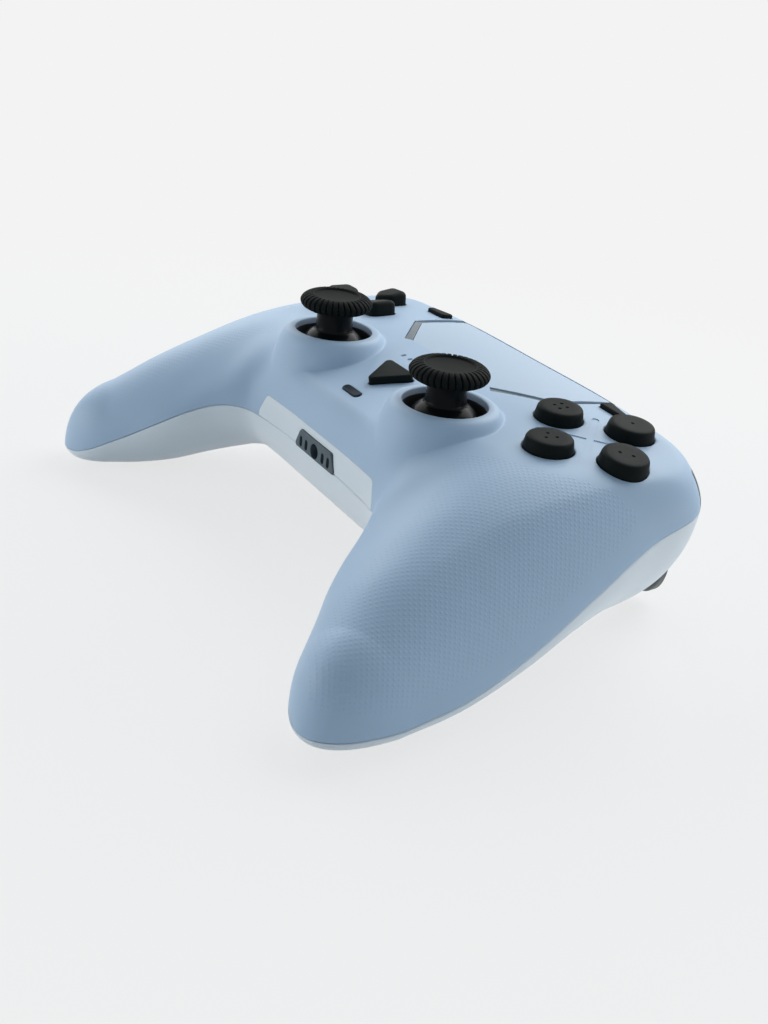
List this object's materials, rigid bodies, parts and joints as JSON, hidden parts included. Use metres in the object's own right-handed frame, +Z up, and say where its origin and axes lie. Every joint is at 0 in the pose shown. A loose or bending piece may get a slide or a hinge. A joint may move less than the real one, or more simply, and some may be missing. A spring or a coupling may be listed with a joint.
{
  "type": "gamepad controller",
  "caption": "Two-handed gamepad with flared grips, tilting thumb sticks, round face buttons, direction keys, a click pad and sprung shoulder triggers.",
  "frame": {"origin": "centre of the plan box, on the floor under the lowest point of the grips", "axes": "+X to the player's right, +Y away from the player, +Z up, square to the plane of the stick rims"},
  "size_m": [0.1646, 0.1126, 0.0593],
  "materials": {
    "shell_blue": "satin, fine texture",
    "shell_pale": "satin",
    "pad_blue": "satin",
    "cap_rubber": "matte",
    "membrane_rubber": "matte",
    "light_lens": "frosted",
    "dark_grey": "matte",
    "shoulder_grey": "satin",
    "steel": "plain",
    "board": "solder mask",
    "cell": "wrapped",
    "module_grey": "moulded",
    "button_black": "satin"
  },
  "bodies": {
    "housing": {"top_shell": "shell_blue", "bottom_shell": "shell_pale", "front_bezel": "shell_pale", "audio_plate": "dark_grey", "audio_jack": "button_black", "light_bar_left": "light_lens", "light_bar_right": "light_lens", "indicator_lights": "light_lens", "left_stick_base": "module_grey", "right_stick_base": "module_grey", "left_trigger_bracket": "steel", "right_trigger_bracket": "steel", "left_trigger_pin": "steel", "right_trigger_pin": "steel", "left_motor": "steel", "right_motor": "steel", "main_board": "board", "battery": "cell", "usb_socket": "steel", "dpad_membrane": "membrane_rubber", "face_membrane": "membrane_rubber", "case_screws": "steel"},
    "left_stick_yoke": {"left_stick_yoke": "module_grey"},
    "left_stick_pivot": {"left_stick_pivot": "module_grey"},
    "left_stick": {"left_stick_stem": "button_black", "left_stick_cap": "cap_rubber"},
    "right_stick_yoke": {"right_stick_yoke": "module_grey"},
    "right_stick_pivot": {"right_stick_pivot": "module_grey"},
    "right_stick": {"right_stick_stem": "button_black", "right_stick_cap": "cap_rubber"},
    "face_north": {"face_north": "button_black"},
    "face_east": {"face_east": "button_black"},
    "face_south": {"face_south": "button_black"},
    "face_west": {"face_west": "button_black"},
    "dpad_up": {"dpad_up": "button_black"},
    "dpad_right": {"dpad_right": "button_black"},
    "dpad_down": {"dpad_down": "button_black"},
    "dpad_left": {"dpad_left": "button_black"},
    "home_button": {"home_button": "button_black"},
    "mute_button": {"mute_button": "dark_grey"},
    "share_button": {"share_button": "button_black"},
    "options_button": {"options_button": "button_black"},
    "touchpad": {"touchpad": "pad_blue"},
    "left_bumper": {"left_bumper": "shoulder_grey"},
    "right_bumper": {"right_bumper": "shoulder_grey"},
    "left_trigger": {"left_trigger": "shoulder_grey"},
    "right_trigger": {"right_trigger": "shoulder_grey"},
    "left_motor_weight": {"left_motor_weight": "steel"},
    "right_motor_weight": {"right_motor_weight": "steel"}
  },
  "joints": [
    {"name": "left_stick_pitch", "type": "hinge", "parent": "housing", "child": "left_stick_yoke", "pos_m": [-0.027, 0.00076, 0.041], "axis": [1, 0, 0], "range_deg": [-15, 15], "stiffness_Nm_per_rad": 0.06},
    {"name": "left_stick_roll", "type": "hinge", "parent": "left_stick_yoke", "child": "left_stick_pivot", "pos_m": [-0.027, 0.00076, 0.041], "axis": [0, 1, 0], "range_deg": [-15, 15], "stiffness_Nm_per_rad": 0.06},
    {"name": "left_stick_click", "type": "slide", "parent": "left_stick_pivot", "child": "left_stick", "axis": [0, 0, -1], "range_m": [0, 0.0005], "stiffness_N_per_m": 1500},
    {"name": "right_stick_pitch", "type": "hinge", "parent": "housing", "child": "right_stick_yoke", "pos_m": [0.027, 0.00076, 0.041], "axis": [1, 0, 0], "range_deg": [-15, 15], "stiffness_Nm_per_rad": 0.06},
    {"name": "right_stick_roll", "type": "hinge", "parent": "right_stick_yoke", "child": "right_stick_pivot", "pos_m": [0.027, 0.00076, 0.041], "axis": [0, 1, 0], "range_deg": [-15, 15], "stiffness_Nm_per_rad": 0.06},
    {"name": "right_stick_click", "type": "slide", "parent": "right_stick_pivot", "child": "right_stick", "axis": [0, 0, -1], "range_m": [0, 0.0005], "stiffness_N_per_m": 1500},
    {"name": "face_north_press", "type": "slide", "parent": "housing", "child": "face_north", "axis": [-0.0783, -0.0058, -0.9969], "range_m": [0, 0.0012], "stiffness_N_per_m": 400, "deforming": ["face_membrane"]},
    {"name": "face_east_press", "type": "slide", "parent": "housing", "child": "face_east", "axis": [-0.1527, 0.011, -0.9882], "range_m": [0, 0.0012], "stiffness_N_per_m": 400, "deforming": ["face_membrane"]},
    {"name": "face_south_press", "type": "slide", "parent": "housing", "child": "face_south", "axis": [-0.0242, 0.0213, -0.9995], "range_m": [0, 0.0012], "stiffness_N_per_m": 400, "deforming": ["face_membrane"]},
    {"name": "face_west_press", "type": "slide", "parent": "housing", "child": "face_west", "axis": [-0.0535, 0.0258, -0.9982], "range_m": [0, 0.0012], "stiffness_N_per_m": 400, "deforming": ["face_membrane"]},
    {"name": "dpad_up_press", "type": "slide", "parent": "housing", "child": "dpad_up", "axis": [0.0958, 0.0233, -0.9951], "range_m": [0, 0.001], "stiffness_N_per_m": 400, "deforming": ["dpad_membrane"]},
    {"name": "dpad_right_press", "type": "slide", "parent": "housing", "child": "dpad_right", "axis": [0.0988, 0.0432, -0.9942], "range_m": [0, 0.001], "stiffness_N_per_m": 400, "deforming": ["dpad_membrane"]},
    {"name": "dpad_down_press", "type": "slide", "parent": "housing", "child": "dpad_down", "axis": [0.0258, 0.0149, -0.9996], "range_m": [0, 0.001], "stiffness_N_per_m": 400, "deforming": ["dpad_membrane"]},
    {"name": "dpad_left_press", "type": "slide", "parent": "housing", "child": "dpad_left", "axis": [0.1678, 0.0165, -0.9857], "range_m": [0, 0.001], "stiffness_N_per_m": 400, "deforming": ["dpad_membrane"]},
    {"name": "home_press", "type": "slide", "parent": "housing", "child": "home_button", "axis": [0, 0.2248, -0.9744], "range_m": [0, 0.0008], "stiffness_N_per_m": 400},
    {"name": "mute_press", "type": "slide", "parent": "housing", "child": "mute_button", "axis": [0, 0.2925, -0.9563], "range_m": [0, 0.0004], "stiffness_N_per_m": 300},
    {"name": "share_press", "type": "slide", "parent": "housing", "child": "share_button", "axis": [0.0287, -0.0891, -0.9956], "range_m": [0, 0.0006], "stiffness_N_per_m": 300},
    {"name": "options_press", "type": "slide", "parent": "housing", "child": "options_button", "axis": [-0.0287, -0.0891, -0.9956], "range_m": [0, 0.0006], "stiffness_N_per_m": 300},
    {"name": "touchpad_click", "type": "hinge", "parent": "housing", "child": "touchpad", "pos_m": [0, 0.04636, 0.0458], "axis": [-1, 0, 0], "range_deg": [0, 1.2], "stiffness_Nm_per_rad": 0.6},
    {"name": "left_bumper_press", "type": "slide", "parent": "housing", "child": "left_bumper", "axis": [0, -1, 0], "range_m": [0, 0.0004], "stiffness_N_per_m": 800},
    {"name": "right_bumper_press", "type": "slide", "parent": "housing", "child": "right_bumper", "axis": [0, -1, 0], "range_m": [0, 0.0004], "stiffness_N_per_m": 800},
    {"name": "left_trigger_pull", "type": "hinge", "parent": "housing", "child": "left_trigger", "pos_m": [-0.0493, 0.03976, 0.029], "axis": [-1, 0, 0], "range_deg": [0, 16], "stiffness_Nm_per_rad": 0.15},
    {"name": "right_trigger_pull", "type": "hinge", "parent": "housing", "child": "right_trigger", "pos_m": [0.0493, 0.03976, 0.029], "axis": [-1, 0, 0], "range_deg": [0, 16], "stiffness_Nm_per_rad": 0.15},
    {"name": "left_rumble_spin", "type": "hinge", "parent": "housing", "child": "left_motor_weight", "pos_m": [-0.063, -0.02824, 0.019], "axis": [0, -1, 0], "continuous": true},
    {"name": "right_rumble_spin", "type": "hinge", "parent": "housing", "child": "right_motor_weight", "pos_m": [0.063, -0.02824, 0.019], "axis": [0, -1, 0], "continuous": true}
  ]
}
